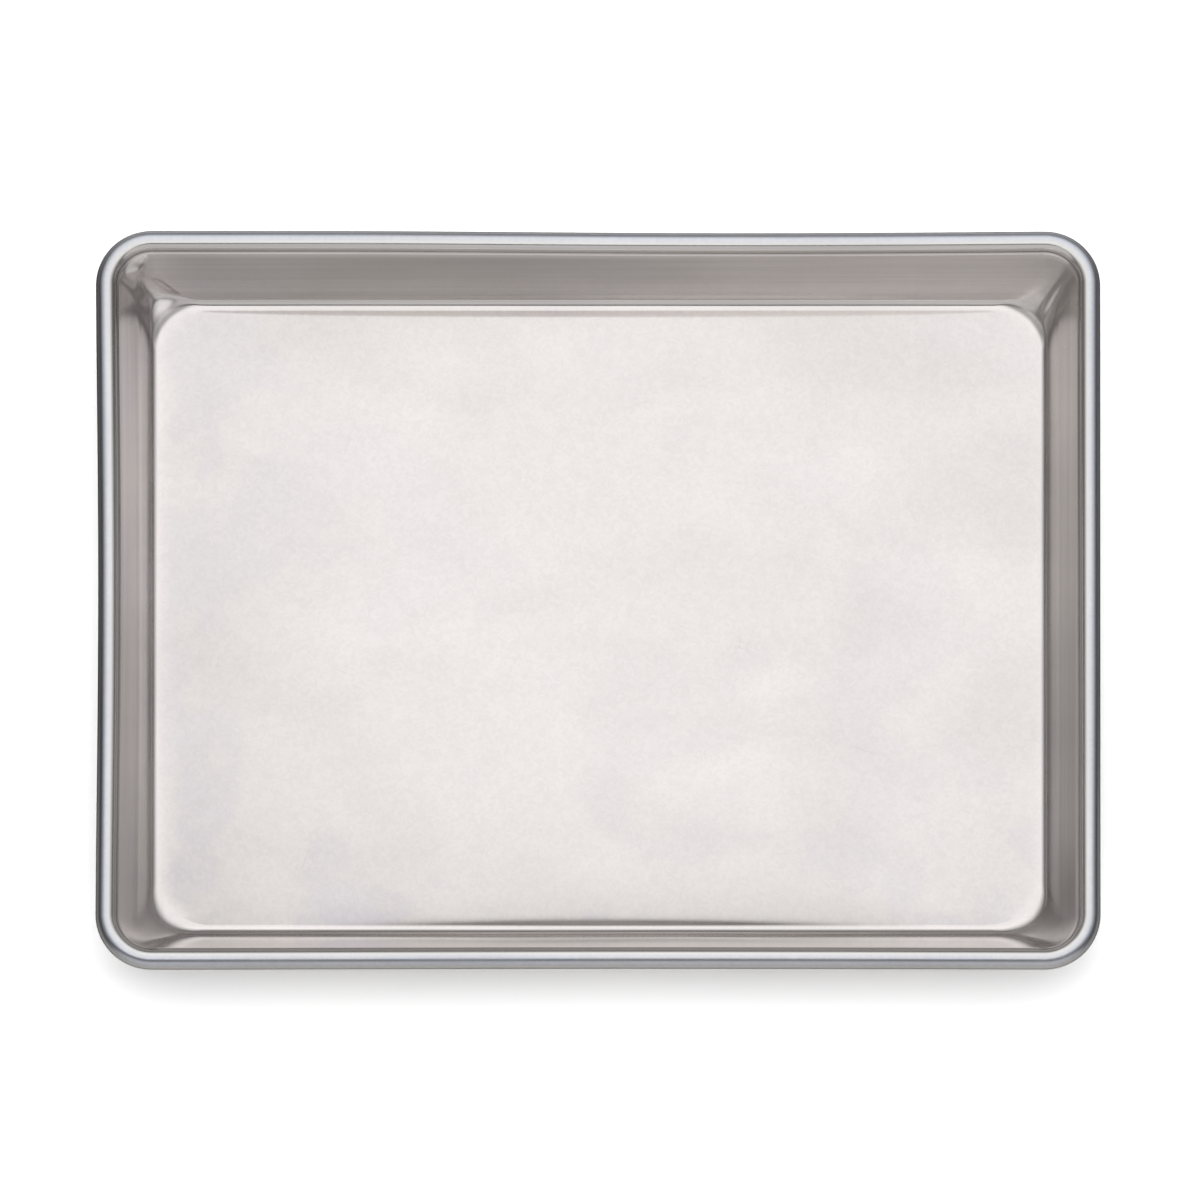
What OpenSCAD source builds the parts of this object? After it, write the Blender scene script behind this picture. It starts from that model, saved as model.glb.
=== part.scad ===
// Jelly roll pan: one drawn aluminium tray whose rim is curled round a steel wire.
// The pan stands on the underside of its floor, length along X, width along Y.

/* [Overall size] */
// Outside length over the rim
pan_length = 330; // [240:1:480]
// Outside width over the rim
pan_width = 250; // [180:1:360]
// Height from the underside of the floor to the top of the rim
pan_height = 28; // [22:0.5:50]

/* [Corners] */
// Corner radius of the rim's outer edge, seen from above
rim_corner_r = 18.5; // [16:0.5:40]
// Corner radius of the flat floor, seen from above
floor_corner_r = 16.4; // [8:0.2:30]

/* [Sheet] */
// Thickness of the aluminium sheet
sheet_t = 1; // [0.7:0.1:1.6]
// Lean of the walls away from upright, in degrees
wall_lean = 25; // [12:1:35]
// Inside radius where the floor turns up into the wall
floor_bend_r = 4; // [2:0.25:6]

/* [Rim] */
// Diameter of the steel wire inside the rim
wire_d = 4.4; // [3:0.1:6]
// Play between the wire and the sheet curled round it
wire_play = 0.2; // [0.15:0.05:0.4]
// Gap between the two ends of the wire
wire_end_gap = 1; // [0.5:0.5:4]
// Open seam between the curled edge of the sheet and the wall
seam_gap = 0.6; // [0.4:0.1:1.2]
// Slope of the shelf between the wall and the curl, in degrees from level
shelf_slope = 35; // [20:1:50]
// Bend radius under the shoulder where the wall turns out to the shelf
shoulder_bend_r = 1.5; // [0.8:0.1:3]
// Bend radius of the groove between the shelf and the curl
groove_bend_r = 0.9; // [0.5:0.1:2]

/* [Hidden] */

// Steps of the shell's facets: round each corner in plan, and along each bend of the section
corner_steps = 8;
floor_bend_steps = 5;
wall_steps = 6;
shoulder_steps = 3;
groove_steps = 4;
curl_step_angle = 15;
wire_facets = 48;

// A place on the wall's section is [inset from the rim's outer edge, height].
// A slope is the angle of the sheet from level: 0 on the floor, 90 where it stands upright.
upright = 90;
wall_slope = upright - wall_lean;

// The curl, round the wire
wire_r = wire_d / 2;
curl_inside_r = wire_r + wire_play;
curl_r = curl_inside_r + sheet_t;
curl_centre = [curl_r, pan_height - curl_r];

// The groove, between the shelf and the curl
groove_centre = curl_centre + [curl_r + groove_bend_r, 0];

// The shoulder, between the wall and the shelf
shoulder_r = shoulder_bend_r + sheet_t;
shoulder_centre = groove_centre - (groove_bend_r + shoulder_r) * square_to(shelf_slope);

// The wall, from its top at the shoulder down to the floor's bend
wall_top = shoulder_centre + shoulder_r * square_to(wall_slope);
wall_foot_level = sheet_t + floor_bend_r * (1 - cos(wall_slope));
wall_foot = [wall_top[0] + (wall_top[1] - wall_foot_level) * tan(wall_lean), wall_foot_level];

// The floor's bend, and where the flat floor starts
floor_bend_centre = wall_foot + floor_bend_r * square_to(wall_slope);
floor_inset = floor_bend_centre[0];

// Inset of the centres of the corner arcs, at the rim and at the floor
rim_arc_inset = rim_corner_r;
floor_arc_inset = floor_corner_r + floor_inset;

// A station is one step along the section:
// [centre of its bend, reach from there to the inside face, slope, inset of its corner arcs].
floor_stations = [
    for (i = [0 : floor_bend_steps])
        [floor_bend_centre, -floor_bend_r, wall_slope * i / floor_bend_steps, floor_arc_inset]
];
wall_stations = [
    for (i = [1 : wall_steps - 1])
        let (up = i / wall_steps)
        [between(wall_foot, wall_top, up), 0, wall_slope, between(floor_arc_inset, rim_arc_inset, eased(up))]
];
shoulder_stations = [
    for (i = [0 : shoulder_steps])
        let (slope = between(wall_slope, shelf_slope, i / shoulder_steps))
        [shoulder_centre, shoulder_r, slope, rim_arc_inset]
];
groove_stations = [
    for (i = [1 : groove_steps - 1])
        let (slope = between(shelf_slope, upright, i / groove_steps))
        [groove_centre, -groove_bend_r, slope, rim_arc_inset]
];

// The curl turns over the wire and back under it until its edge is a seam gap from the wall.
wall_back = concat(
    [for (i = [0 : 60]) between(wall_foot, wall_top, i / 60) - sheet_t * square_to(wall_slope)],
    [for (station = concat(shoulder_stations, groove_stations)) back_of(station)]
);
curl_turns = [for (turn = [180 : 340]) if (edge_gap(turn) < seam_gap) turn];
curl_turn = min(curl_turns) - 1;
curl_steps = [for (turn = [0 : curl_step_angle : curl_turn - curl_step_angle / 2]) turn];
curl_stations = [
    for (turn = concat(curl_steps, [curl_turn]))
        [curl_centre, curl_r, upright - turn, rim_arc_inset]
];
stations = concat(floor_stations, wall_stations, shoulder_stations, groove_stations, curl_stations);

// Level, corner radius and straight lengths of the wire's centre line
wire_level = curl_centre[1];
wire_corner_r = rim_corner_r - curl_r;
wire_run_x = pan_length - 2 * rim_corner_r;
wire_run_y = pan_width - 2 * rim_corner_r;
wire_half_run = (wire_run_x - wire_end_gap) / 2;

// Direction square to a slope, out of the inside face
function square_to(slope) = [sin(slope), cos(slope)];

// Value a share of the way from a to b
function between(a, b, share) = a + (b - a) * share;

// Share that starts and ends gently
function eased(share) = share * share * (3 - 2 * share);

// Places of a station on the sheet's inside face and on its back
function face_of(station) = station[0] + station[1] * square_to(station[2]);
function back_of(station) = face_of(station) - sheet_t * square_to(station[2]);

// Least distance from the curled edge of the sheet to the back of the wall, after a turn
function edge_gap(turn) =
    let (
        across = square_to(upright - turn),
        edge = [curl_centre + curl_r * across, curl_centre + curl_inside_r * across]
    )
    min([for (corner = edge, place = wall_back) norm(corner - place)]);

// Closed ring of points round the pan through a place on the section
function ring(place, arc_inset) = [
    for (quarter = [0 : 3], step = [0 : corner_steps])
        let (
            angle = 90 * (quarter + step / corner_steps),
            side_x = (quarter == 0 || quarter == 3) ? 1 : -1,
            side_y = (quarter < 2) ? 1 : -1
        )
        [
            side_x * (pan_length / 2 - arc_inset) + (arc_inset - place[0]) * cos(angle),
            side_y * (pan_width / 2 - arc_inset) + (arc_inset - place[0]) * sin(angle),
            place[1]
        ]
];

// The drawn sheet: floor, walls, shelf and curled rim
module pan_shell() {
    last = len(stations) - 1;
    rings = concat(
        [for (i = [0 : last]) ring(face_of(stations[i]), stations[i][3])],
        [for (i = [0 : last]) ring(back_of(stations[last - i]), stations[last - i][3])]
    );
    around = 4 * (corner_steps + 1);
    strips = [
        for (i = [0 : len(rings) - 2], j = [0 : around - 1])
            let (
                a = i * around + j,
                b = i * around + (j + 1) % around
            )
            each [[a, b, b + around], [a, b + around, a + around]]
    ];
    floor_face = [for (j = [around - 1 : -1 : 0]) j];
    underside = [for (j = [0 : around - 1]) (len(rings) - 1) * around + j];
    color([0.80, 0.79, 0.78])
    polyhedron(
        points = [for (loop = rings) each loop],
        faces = concat([floor_face], strips, [underside]),
        convexity = 6
    );
}

// One quarter bend of the wire, its ends pointing along X and Y
module wire_corner() {
    rotate_extrude(angle = 90, $fn = wire_facets)
    translate([wire_corner_r, 0])
    circle(r = wire_r, $fn = wire_facets);
}

// A straight stretch of the wire, from the origin along X
module wire_run(run) {
    rotate([0, 90, 0])
    cylinder(h = run, r = wire_r, $fn = wire_facets);
}

// The wire inside the rim: one rod bent round, its ends close together at the back
module rim_wire() {
    corner_x = wire_run_x / 2;
    corner_y = wire_run_y / 2;
    color([0.62, 0.63, 0.65])
    translate([0, 0, wire_level]) {
        translate([corner_x, corner_y, 0]) wire_corner();
        translate([-corner_x, corner_y, 0]) rotate([0, 0, 90]) wire_corner();
        translate([-corner_x, -corner_y, 0]) rotate([0, 0, 180]) wire_corner();
        translate([corner_x, -corner_y, 0]) rotate([0, 0, 270]) wire_corner();
        translate([-corner_x, -corner_y - wire_corner_r, 0]) wire_run(wire_run_x);
        translate([-corner_x, corner_y + wire_corner_r, 0]) wire_run(wire_half_run);
        translate([wire_end_gap / 2, corner_y + wire_corner_r, 0]) wire_run(wire_half_run);
        for (side = [-1, 1])
            translate([side * (corner_x + wire_corner_r), -corner_y, 0])
            rotate([0, 0, 90])
            wire_run(wire_run_y);
    }
}

pan_shell();
rim_wire();
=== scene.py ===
"""Jelly roll pan in its satin aluminium finish, on a pale floor under soft studio light."""

import logging
import math
from dataclasses import dataclass, field
from enum import Enum
from functools import partial, reduce
from typing import Sequence

import bmesh
import bpy
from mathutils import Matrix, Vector, noise


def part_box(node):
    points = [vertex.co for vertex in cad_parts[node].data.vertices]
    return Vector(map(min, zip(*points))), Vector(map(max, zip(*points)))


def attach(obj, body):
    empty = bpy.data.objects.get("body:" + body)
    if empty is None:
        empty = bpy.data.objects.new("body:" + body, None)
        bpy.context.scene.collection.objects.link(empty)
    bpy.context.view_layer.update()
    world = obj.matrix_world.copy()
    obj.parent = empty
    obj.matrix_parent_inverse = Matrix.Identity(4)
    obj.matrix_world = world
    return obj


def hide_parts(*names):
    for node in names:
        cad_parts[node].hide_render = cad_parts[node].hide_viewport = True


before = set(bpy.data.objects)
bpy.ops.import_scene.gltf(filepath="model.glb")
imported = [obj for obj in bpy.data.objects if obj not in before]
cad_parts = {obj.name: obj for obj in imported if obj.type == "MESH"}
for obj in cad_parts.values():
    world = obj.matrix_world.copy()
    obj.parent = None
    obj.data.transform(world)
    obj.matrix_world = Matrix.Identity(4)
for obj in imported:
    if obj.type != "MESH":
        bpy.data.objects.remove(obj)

MM = 0.001
QUARTER = math.pi / 2
BUMP_DEPTH = 0.05 * MM
SHELL_NODE = "pan_shell"
WIRE_NODE = "rim_wire"
BODY = "root"

log = logging.getLogger("jelly_roll_pan")

Place = tuple[float, float]
Colour = tuple[float, float, float]
Axes = tuple[float, float, float]
Ring = list[bmesh.types.BMVert]
Socket = bpy.types.NodeSocket
Sockets = dict[str, Socket]
Group = bpy.types.ShaderNodeTree


def between(start: float, end: float, share: float) -> float:
    """Return the value a share of the way from start to end."""
    return start + (end - start) * share


def eased(low: float, high: float, value: float) -> float:
    """Return a share from 0 at low to 1 at high that starts and ends gently."""
    share = min(max((value - low) / (high - low), 0.0), 1.0)
    return share * share * (3.0 - 2.0 * share)


def square_to(slope: float) -> Place:
    """Return the direction out of the inside face of sheet at a slope, as inset and height."""
    return math.sin(slope), math.cos(slope)


def moved(place: Place, reach: float, slope: float) -> Place:
    """Return a place moved by a reach square to a slope."""
    inset, height = square_to(slope)
    return place[0] + reach * inset, place[1] + reach * height


def new_object(name: str, mesh: bmesh.types.BMesh) -> bpy.types.Object:
    """Turn a finished mesh into an object.

    Args:
        name: Name of the object and its mesh.
        mesh: The mesh, which is freed.

    Returns:
        The object, in the scene.
    """
    data = bpy.data.meshes.new(name)
    mesh.to_mesh(data)
    mesh.free()
    made = bpy.data.objects.new(name, data)
    bpy.context.collection.objects.link(made)
    return made


def join_rings(mesh: bmesh.types.BMesh, inner: Ring, outer: Ring, zone: int = 0) -> None:
    """Join two rings with a strip of faces.

    Args:
        mesh: The mesh.
        inner: First ring.
        outer: Second ring, with as many points.
        zone: Place of the faces' finish among the piece's finishes.
    """
    for index in range(len(inner)):
        after = (index + 1) % len(inner)
        face = mesh.faces.new((inner[index], outer[index], outer[after], inner[after]))
        face.smooth = True
        face.material_index = zone


@dataclass(frozen=True)
class Station:
    """One step along the section of the sheet."""

    face: Place  # inset from the rim's edge and height of the inside face
    back: Place  # the same for the other side of the sheet
    arc_inset: float  # inset of the centres of the corner arcs
    slope: float  # angle of the sheet from level


@dataclass
class TraySection:
    """Section of the drawn sheet, from the flat floor out to the curled edge.

    A place on it is an inset from the rim's outer edge and a height. A slope is an angle from level.
    """

    height: float  # of the rim's top above the table
    wire_d: float
    rim_corner_r: float = 18.5 * MM
    floor_corner_r: float = 16.4 * MM
    sheet_t: float = 1.0 * MM
    wall_lean: float = math.radians(25.3)  # away from upright
    floor_bend_r: float = 4.0 * MM  # inside, where the floor turns up into the wall
    wire_play: float = 0.2 * MM  # between the wire and the sheet curled round it
    shelf_slope: float = math.radians(35)  # of the shelf between the wall and the curl
    shoulder_bend_r: float = 0.7 * MM  # under the bend from the wall to the shelf
    groove_bend_r: float = 0.5 * MM  # of the groove between the shelf and the curl
    curl_turn: float = math.radians(324)  # round the wire
    corner_bowl: float = 2.2  # how low in a corner its wall turns up, 1 for a plain cone
    floor_bend_cuts: int = 14  # steps of the mesh; the other cuts likewise
    wall_cuts: int = 34
    shoulder_cuts: int = 8
    groove_cuts: int = 8
    curl_cuts: int = 72

    def __post_init__(self) -> None:
        """Work out the centres and radii of the bends, from the rim down to the floor."""
        self.wall_slope: float = QUARTER - self.wall_lean
        self.curl_r: float = self.wire_d / 2 + self.wire_play + self.sheet_t
        self.curl_centre: Place = (self.curl_r, self.height - self.curl_r)
        self.groove_centre: Place = moved(self.curl_centre, self.curl_r + self.groove_bend_r, QUARTER)
        self.shoulder_r: float = self.shoulder_bend_r + self.sheet_t
        back = -(self.groove_bend_r + self.shoulder_r)
        self.shoulder_centre: Place = moved(self.groove_centre, back, self.shelf_slope)
        self.wall_top: Place = moved(self.shoulder_centre, self.shoulder_r, self.wall_slope)
        level = self.sheet_t + self.floor_bend_r * (1 - math.cos(self.wall_slope))
        run = (self.wall_top[1] - level) * math.tan(self.wall_lean)
        self.wall_foot: Place = (self.wall_top[0] + run, level)
        self.floor_bend_centre: Place = moved(self.wall_foot, self.floor_bend_r, self.wall_slope)
        self.floor_inset: float = self.floor_bend_centre[0]
        self.floor_arc_inset: float = self.floor_inset + self.floor_corner_r

    def _station(self, centre: Place, reach: float, slope: float, arc_inset: float) -> Station:
        """Return the station with its inside face a reach from a centre, below 0 on a hollow bend."""
        face = moved(centre, reach, slope)
        return Station(face, moved(face, -self.sheet_t, slope), arc_inset, slope)

    def _arc_inset(self, share: float) -> float:
        """Return the inset of the corner arcs' centres, a share of the way up from the floor."""
        return between(self.rim_corner_r, self.floor_arc_inset, (1 - share) ** self.corner_bowl)

    def _bend(self, cuts: int, slopes: Place, centre: Place, reach: float) -> list[Station]:
        """Return the stations of a bend beside the rim.

        Args:
            cuts: Steps round the bend.
            slopes: Slopes of the sheet at its start and end.
            centre: Centre of the bend.
            reach: Distance from there to the inside face, below 0 on a hollow bend.

        Returns:
            The stations, both ends among them.
        """
        turns = [between(*slopes, cut / cuts) for cut in range(cuts + 1)]
        return [self._station(centre, reach, slope, self.rim_corner_r) for slope in turns]

    def stations(self) -> list[Station]:
        """Work out the steps along the section.

        Returns:
            The stations, from the flat floor's edge to the curled edge.
        """
        steps = []
        bend_run = self.floor_bend_r * self.wall_slope
        whole_run = bend_run + math.dist(self.wall_foot, self.wall_top)
        for cut in range(self.floor_bend_cuts + 1):
            share = cut / self.floor_bend_cuts
            slope, arc_inset = self.wall_slope * share, self._arc_inset(share * bend_run / whole_run)
            steps.append(self._station(self.floor_bend_centre, -self.floor_bend_r, slope, arc_inset))
        for cut in range(1, self.wall_cuts):
            up = cut / self.wall_cuts
            place = tuple(between(foot, top, up) for foot, top in zip(self.wall_foot, self.wall_top))
            arc_inset = self._arc_inset(between(bend_run, whole_run, up) / whole_run)
            steps.append(self._station(place, 0, self.wall_slope, arc_inset))
        shoulder = (self.wall_slope, self.shelf_slope)
        groove = (self.shelf_slope, QUARTER)
        curl = (QUARTER, QUARTER - self.curl_turn)
        steps += self._bend(self.shoulder_cuts, shoulder, self.shoulder_centre, self.shoulder_r)
        steps += self._bend(self.groove_cuts, groove, self.groove_centre, -self.groove_bend_r)[1:-1]
        steps += self._bend(self.curl_cuts, curl, self.curl_centre, self.curl_r)
        return steps


@dataclass(frozen=True)
class Heading:
    """One direction round the pan seen from above."""

    side_x: int  # 1 on the right half and -1 on the left half
    side_y: int  # 1 on the back half and -1 on the front half
    angle: float  # of the outward direction, from +X
    along: float = 0.0  # share of the way from the corner's arc to the middle of the side, 0 on the arc

    @property
    def faces_end(self) -> bool:
        """Whether it points along the pan rather than across it."""
        return abs(math.cos(self.angle)) > abs(math.sin(self.angle))


@dataclass(frozen=True)
class SideBow:
    """Slight inward bow of one straight side."""

    depth: float  # how far the middle of the bow lies inside the straight line
    middle: float = 0.0  # where along the side the bow is deepest, as a share from -1 to 1
    reach: float = 0.95  # where it fades out, as a share of half the side
    foot_out: float = 0.0  # how far the foot of the wall stands outside its straight line

    def inward(self, share: float) -> float:
        """Return the bow's depth at a share from -1 to 1 along the side."""
        gone = min(abs(share - self.middle) / self.reach, 1.0)
        return self.depth * (1 - gone * gone) ** 2


@dataclass(frozen=True)
class Dent:
    """Soft dent or bulge that the drawing left in the wall near a corner."""

    turn: float  # place round the corner, from 0 to 1 on its arc and beyond that on the sides
    level: float  # height of its middle
    depth: float  # how far the wall stands out there, below 0 where it is pushed in
    spread: float  # reach round the corner, in shares of the arc
    above: float  # reach up the wall
    below: float  # reach down the wall

    def outward(self, turn: float, level: float) -> float:
        """Return how far the wall stands out at a turn and a height, below 0 where it is pushed in."""
        rise = (level - self.level) / (self.above if level > self.level else self.below)
        return self.depth * math.exp(-((turn - self.turn) / self.spread) ** 2 - rise ** 2)


@dataclass(frozen=True)
class FloorFold:
    """Soft fold where the floor drops to its bend along the middle of one long side, with a painted shade line
    at its foot.
    """

    side_y: int  # 1 on the back side and -1 on the front side
    depth: float
    reach: float  # width of the drop
    steepening: float  # 1 for an even slope and more for one that steepens towards the side
    middle: float  # where along the side the fold is deepest
    half_run: float  # distance from there to where it fades out
    fullness: float  # how soon it fades, low for a long even fold
    tapers: bool  # whether the fold grows narrower towards its ends, in place of shallower
    shade_line_width: float
    mark: float  # strength of the painted shade line
    shade_line_out: float = 0.05 * MM  # how far outside the flat floor's edge that line is strongest
    shade_line_edge: float = 0.4 * MM  # width of its outer edge
    shade_line_fade: float = 1.3  # how suddenly it fades inward
    # Distances inward over which the floor comes back to level, the far one first
    levels_out: Place = (95 * MM, 6 * MM)

    def window(self, across: float) -> float:
        """Return the share of the fold left at a place along the side."""
        gone = min(abs(across - self.middle) / self.half_run, 1.0)
        return (1 - gone * gone) ** self.fullness

    def rise(self, across: float, inward: float) -> float:
        """Return how far the floor stands over the fold's foot.

        Args:
            across: Place along the side.
            inward: Distance inward from the flat floor's edge.

        Returns:
            Rise of the floor.
        """
        window = self.window(across)
        if window <= 0:
            return 0.0
        reach = self.reach * window if self.tapers else self.reach
        gone = min(max(inward / reach, 0.0), 1.0)
        risen = 1 - (1 - gone) ** self.steepening
        return self.depth * window * risen * eased(*self.levels_out, inward)

    def shade_strength(self, across: float, inward: float) -> float:
        """Return the strength of the painted shade line.

        Args:
            across: Place along the side.
            inward: Distance inward from the flat floor's edge.

        Returns:
            Strength from 0 to 1.
        """
        inside = inward + self.shade_line_out
        if inside < 0:
            shape = eased(-self.shade_line_edge, 0, inside)
        else:
            shape = math.exp(-((inside / self.shade_line_width) ** self.shade_line_fade))
        return self.mark * self.window(across) * shape


@dataclass(frozen=True)
class PaintedShading:
    """Patch of painted shade, which is a painted highlight where its strength is below 0."""

    middle: Place
    reach: Place  # its reach along the length and across the width
    strength: float  # share of the tone that the painted shade takes, below 0 for a painted highlight

    def shade_strength(self, point: Vector) -> float:
        """Return the share of the tone that the painted shade takes at a point, below 0 for a painted
        highlight.
        """
        across, deep = ((at - mid) / reach for at, mid, reach in zip(point, self.middle, self.reach))
        return self.strength * math.exp(-across * across - deep * deep)


@dataclass(frozen=True)
class Plan:
    """Outline of the pan seen from above, with the small flaws of a pressed tray, and where its sheet bears
    painted shade and painted highlights.
    """

    length: float
    width: float
    height: float
    floor_half_width: float  # distance from the middle to the flat floor's edge across the pan
    corner_cuts: int = 28  # steps round each corner
    long_cuts: int = 16  # steps along each half of a long side
    short_cuts: int = 12  # steps along each half of a short side
    crowding: float = 1.6  # how much those steps crowd towards the corners
    front_pull: float = 0.5 * MM  # how far the drawing has pulled each end in at the front
    # Bow of the left side; right, back and front are the other sides' bows
    left: SideBow = SideBow(0.85 * MM, 0.02, 0.95, -0.3 * MM)
    right: SideBow = SideBow(0.0, -0.2, 0.8, 0.35 * MM)
    back: SideBow = SideBow(0.75 * MM, 0.3, 0.85)
    front: SideBow = SideBow(0.3 * MM, 0.1)
    # Dents of the corners, back right, back left, front left and front right
    dents: tuple[tuple[Dent, ...], ...] = (
        (Dent(0.38, 9 * MM, -0.65 * MM, 0.06, 6 * MM, 5 * MM),),
        (
            Dent(0.43, 21.4 * MM, -2.4 * MM, 0.26, 1.8 * MM, 6.5 * MM),
            Dent(0.42, 4.2 * MM, 2.6 * MM, 0.25, 11 * MM, 1.0 * MM),
        ),
        (),
        (),
    )
    arc_span: float = 28 * MM  # length of a corner's arc, by which the dents' shares go
    # Folds along the floor's edge
    folds: tuple[FloorFold, ...] = (
        FloorFold(-1, 0.98 * MM, 4.0 * MM, 2.2, 4 * MM, 106 * MM, 1.3, False, 1.0 * MM, 0.45),
        FloorFold(1, 0.72 * MM, 2.5 * MM, 1.15, 0 * MM, 131 * MM, 0.5, True, 1.2 * MM, 0.0),
    )
    # Patches of painted shade on the floor
    shade_and_smudges: tuple[PaintedShading, ...] = (
        PaintedShading((-165 * MM, 0.0), (70 * MM, 260 * MM), 0.1),
        PaintedShading((-140 * MM, -105 * MM), (42 * MM, 36 * MM), 0.07),
        PaintedShading((0.0, -122 * MM), (220 * MM, 46 * MM), 0.085),
        PaintedShading((0.0, -105 * MM), (190 * MM, 8 * MM), 0.1),
        PaintedShading((160 * MM, -30 * MM), (62 * MM, 110 * MM), 0.05),
    )
    shade_reach: float = 4.5 * MM  # distance from the floor's edge over which the painted shade sets in
    shade_front: float = 0.75  # share of straight ahead from which on they reach that edge in front
    # Patches of painted shade on the walls, painted highlights where the strength is below 0
    wall_shadings: tuple[PaintedShading, ...] = (
        PaintedShading((0.0, 116 * MM), (220 * MM, 7 * MM), 0.2),
        PaintedShading((-75 * MM, 111 * MM), (80 * MM, 14 * MM), 0.06),
        PaintedShading((82 * MM, 108 * MM), (50 * MM, 14 * MM), -0.23),
        PaintedShading((0.0, -109.5 * MM), (150 * MM, 3 * MM), -0.2),
        PaintedShading((156 * MM, -62 * MM), (14 * MM, 75 * MM), 0.28),
        PaintedShading((156 * MM, 60 * MM), (14 * MM, 60 * MM), -0.075),
        PaintedShading((-156 * MM, -66 * MM), (14 * MM, 55 * MM), 0.03),
        PaintedShading((-156 * MM, 50 * MM), (14 * MM, 70 * MM), -0.22),
        PaintedShading((154 * MM, -98 * MM), (9 * MM, 16 * MM), 0.3),
        PaintedShading((153 * MM, 115 * MM), (9 * MM, 9 * MM), 0.18),
    )
    wall_shading_levels: Place = (1.5 * MM, 3.5 * MM)  # heights over which those set in
    wall_shading_insets: Place = (7.4 * MM, 8.6 * MM)  # insets from the rim's edge over which they set in
    bow_level: float = 19 * MM  # height at which a wall has its whole bow
    wave_size: float = 55 * MM  # of the waves in the walls
    wave_depth: float = 0.16 * MM
    wave_top: float = 0.82  # share of the pan's height that has them
    ripple_level: float = 11.0 * MM  # height of the faint ripple along the end walls
    ripple_width: float = 1.6 * MM
    ripple_depth: float = 0.1 * MM
    right_ripple: float = 0.5  # share of that depth on the right
    floor_wave_size: float = 90 * MM
    floor_wave_depth: float = 0.05 * MM
    floor_wave_lift: float = 0.5  # how far they are lifted, as only what stands up is kept
    floor_crown: float = 0.12 * MM  # rise of the middle of the floor
    crown_edge: float = 0.25  # share of the way to the middle over which crown and waves set in

    def headings(self) -> list[Heading]:
        """Work out the headings once round the pan, from the middle of the right side.

        Returns:
            The headings.
        """
        found = []
        for quarter, (side_x, side_y) in enumerate(((1, 1), (-1, 1), (-1, -1), (1, -1))):
            before, after = self.short_cuts, self.long_cuts
            if quarter % 2:
                before, after = after, before
            start = quarter * QUARTER
            for cut in range(before, 0, -1):
                found.append(Heading(side_x, side_y, start, (cut / before) ** self.crowding))
            for cut in range(self.corner_cuts + 1):
                found.append(Heading(side_x, side_y, start + QUARTER * cut / self.corner_cuts))
            for cut in range(1, after):
                found.append(Heading(side_x, side_y, start + QUARTER, (cut / after) ** self.crowding))
        return found

    def spot(self, heading: Heading, place: Place, arc_inset: float) -> Vector:
        """Return the point of the true shape at a heading.

        Args:
            heading: Direction round the pan.
            place: Inset and height on the section.
            arc_inset: Inset of the centres of the corner arcs.

        Returns:
            The point, before the small flaws.
        """
        centre_x, centre_y = self.length / 2 - arc_inset, self.width / 2 - arc_inset
        if heading.faces_end:
            centre_y *= 1 - heading.along
        else:
            centre_x *= 1 - heading.along
        reach = arc_inset - place[0]
        return Vector((
            heading.side_x * centre_x + reach * math.cos(heading.angle),
            heading.side_y * centre_y + reach * math.sin(heading.angle),
            place[1],
        ))

    def flawed(self, point: Vector, heading: Heading) -> Vector:
        """Return a point of a wall or the rim with the bow, waves and dents of a pressed tray.

        Args:
            point: Point of the true shape.
            heading: Its direction round the pan.

        Returns:
            The moved point.
        """
        across = point.x / (self.length / 2)
        deep = point.y / (self.width / 2)
        share = eased(0, self.bow_level, point.z)
        side = self.right if across > 0 else self.left
        end = self.back if deep > 0 else self.front
        out = Vector((math.cos(heading.angle), math.sin(heading.angle), 0))
        bow_x = side.inward(deep) * out.x ** 2
        bow_y = end.inward(across) * out.y ** 2
        bowed = Vector((math.copysign(bow_x, across), math.copysign(bow_y, deep), 0)) * share
        pulled = Vector((across * self.front_pull * (1 - deep) / 2, 0, 0))
        foot = side.foot_out * out.x ** 2 * (1 - share)
        window = math.sin(math.pi * min(point.z / (self.height * self.wave_top), 1.0))
        wave = noise.noise(point / self.wave_size) * self.wave_depth * window
        ripple = math.exp(-(((point.z - self.ripple_level) / self.ripple_width) ** 2)) * out.x ** 4
        wave -= self.ripple_depth * ripple * (1.0 if across < 0 else self.right_ripple)
        return point - bowed - pulled + out * (wave + foot + self._dented(point, heading))

    def _dented(self, point: Vector, heading: Heading) -> float:
        """Return how far the dents of the nearest corner move a point of the wall outward.

        Args:
            point: Point of the true shape.
            heading: Its direction round the pan.

        Returns:
            Distance outward.
        """
        quarter = (1 - heading.side_y) + (heading.side_x != heading.side_y)
        turn = heading.angle / QUARTER - quarter
        if heading.along:
            half = self.width / 2 if heading.faces_end else self.length / 2
            beyond = heading.along * (half - self.arc_span) / self.arc_span
            turn += beyond if turn > 0.5 else -beyond
        return sum(dent.outward(turn, point.z) for dent in self.dents[quarter])

    def floor_rise(self, point: Vector, share: float) -> float:
        """Return how far the floor stands up from flat.

        Args:
            point: Point of the floor.
            share: Share of the way from the floor's edge to its middle.

        Returns:
            Rise of the floor at that point.
        """
        calm = eased(0, self.crown_edge, share)
        wave = noise.noise(Vector((point.x, point.y, 0)) / self.floor_wave_size) + self.floor_wave_lift
        drop = sum(fold.rise(point.x, self._inward(point, fold)) for fold in self.folds)
        return drop + calm * (self.floor_crown * share + self.floor_wave_depth * max(wave, 0.0))

    def _inward(self, point: Vector, fold: FloorFold) -> float:
        """Return the distance of a point inward from the flat floor's edge at a fold."""
        return self.floor_half_width - point.y * fold.side_y

    def shade_strength(self, point: Vector) -> float:
        """Return the strength of the painted shade lines along the floor's edge at a point."""
        return max(fold.shade_strength(point.x, self._inward(point, fold)) for fold in self.folds)

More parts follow.
